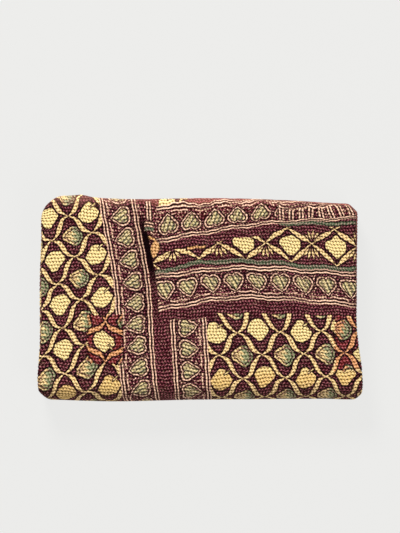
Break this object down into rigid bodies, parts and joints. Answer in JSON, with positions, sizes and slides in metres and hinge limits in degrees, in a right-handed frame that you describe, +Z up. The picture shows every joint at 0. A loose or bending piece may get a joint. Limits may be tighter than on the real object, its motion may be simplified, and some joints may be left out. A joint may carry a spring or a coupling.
{
  "type": "folded kantha quilt",
  "caption": "Thin hand-quilted cotton throw, folded in thirds across and to sixths along its length into a flat bundle that rests on a surface.",
  "frame": {"origin": "middle of the underside, at the centre of the bundle's box", "axes": "+X along the bundle's long side, +Y towards the edge where the folds turn back, +Z up from the surface"},
  "size_m": [0.419, 0.2654, 0.0534],
  "materials": {
    "printed_cotton": "dull hand-quilted cotton, maroon ground with cream and green printed motifs"
  },
  "bodies": {
    "root": {"quilt": "printed_cotton"}
  },
  "joints": []
}
